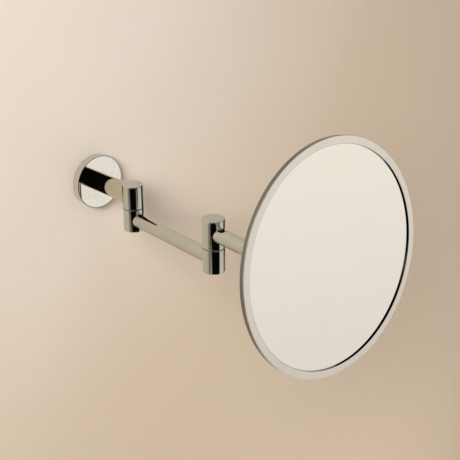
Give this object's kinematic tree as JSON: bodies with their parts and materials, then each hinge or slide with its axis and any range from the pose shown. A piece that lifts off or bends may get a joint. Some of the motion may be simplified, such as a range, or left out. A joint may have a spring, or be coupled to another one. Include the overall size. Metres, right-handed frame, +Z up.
{
  "type": "extendable shaving mirror",
  "caption": "Round wall mirror in a slim bezel, carried by two tubular swing arms with friction knuckles and a tilt joint on a round wall flange.",
  "frame": {"origin": "centre of the wall flange's back face, on the wall and on the wall post's axis, which is also the centre of the wall screw circle", "axes": "+Y into the wall, -Y out into the room along the post, +X to the right seen from the room, +Z up and parallel to the knuckle axes"},
  "size_m": [0.1999, 0.36, 0.1986],
  "materials": {
    "chrome": "polished",
    "steel": "zinc plated",
    "brass": "turned",
    "nylon": "matt",
    "dark_plastic": "matt",
    "foam": "matt",
    "mirror_glass": "silvered glass"
  },
  "bodies": {
    "wall_mount": {"wall_bracket": "steel", "wall_flange": "chrome", "flange_grub_screw": "steel", "wall_post": "chrome", "post_bolt": "steel", "k1_upper": "chrome", "k1_pin": "steel", "k1_disc_springs": "steel", "k1_nut": "steel"},
    "first_arm": {"k1_lower": "chrome", "k1_bush": "nylon", "k1_washer": "dark_plastic", "k1_cap": "dark_plastic", "arm1_tube": "chrome", "arm1_spigots": "brass", "k2_lower": "chrome", "k2_bush": "nylon", "k2_washer": "dark_plastic", "k2_cap": "dark_plastic"},
    "second_arm": {"k2_upper": "chrome", "k2_pin": "steel", "k2_disc_springs": "steel", "k2_nut": "steel", "arm2_tube": "chrome", "arm2_spigots": "brass", "k3_lower": "chrome", "k3_bush": "nylon", "k3_washer": "dark_plastic", "k3_cap": "dark_plastic"},
    "swivel_head": {"k3_upper": "chrome", "k3_pin": "steel", "k3_disc_springs": "steel", "k3_nut": "steel", "tilt_stem": "chrome"},
    "mirror_head": {"tilt_bolt": "steel", "tilt_nut": "steel", "tilt_washers": "dark_plastic", "pivot_plate": "chrome", "plate_screws": "steel", "mirror_pan": "chrome", "stiffener": "steel", "glass_pad": "foam", "mirror_glass": "mirror_glass", "bezel_ring": "chrome"}
  },
  "joints": [
    {"name": "first_knuckle", "type": "hinge", "parent": "wall_mount", "child": "first_arm", "pos_m": [0, -0.064, -0.0125], "axis": [0, 0, 1], "range_deg": [-86, 93]},
    {"name": "second_knuckle", "type": "hinge", "parent": "first_arm", "child": "second_arm", "pos_m": [-0.00759, -0.19177, -0.0125], "axis": [0, 0, 1], "range_deg": [-89, 91]},
    {"name": "third_knuckle", "type": "hinge", "parent": "second_arm", "child": "swivel_head", "pos_m": [-0.01649, -0.30743, 0.0145], "axis": [0, 0, 1], "range_deg": [-91, 89]},
    {"name": "mirror_tilt", "type": "hinge", "parent": "swivel_head", "child": "mirror_head", "pos_m": [-0.01764, -0.3274, 0.029], "axis": [-0.9983, 0.0576, 0], "range_deg": [-30, 22]}
  ]
}
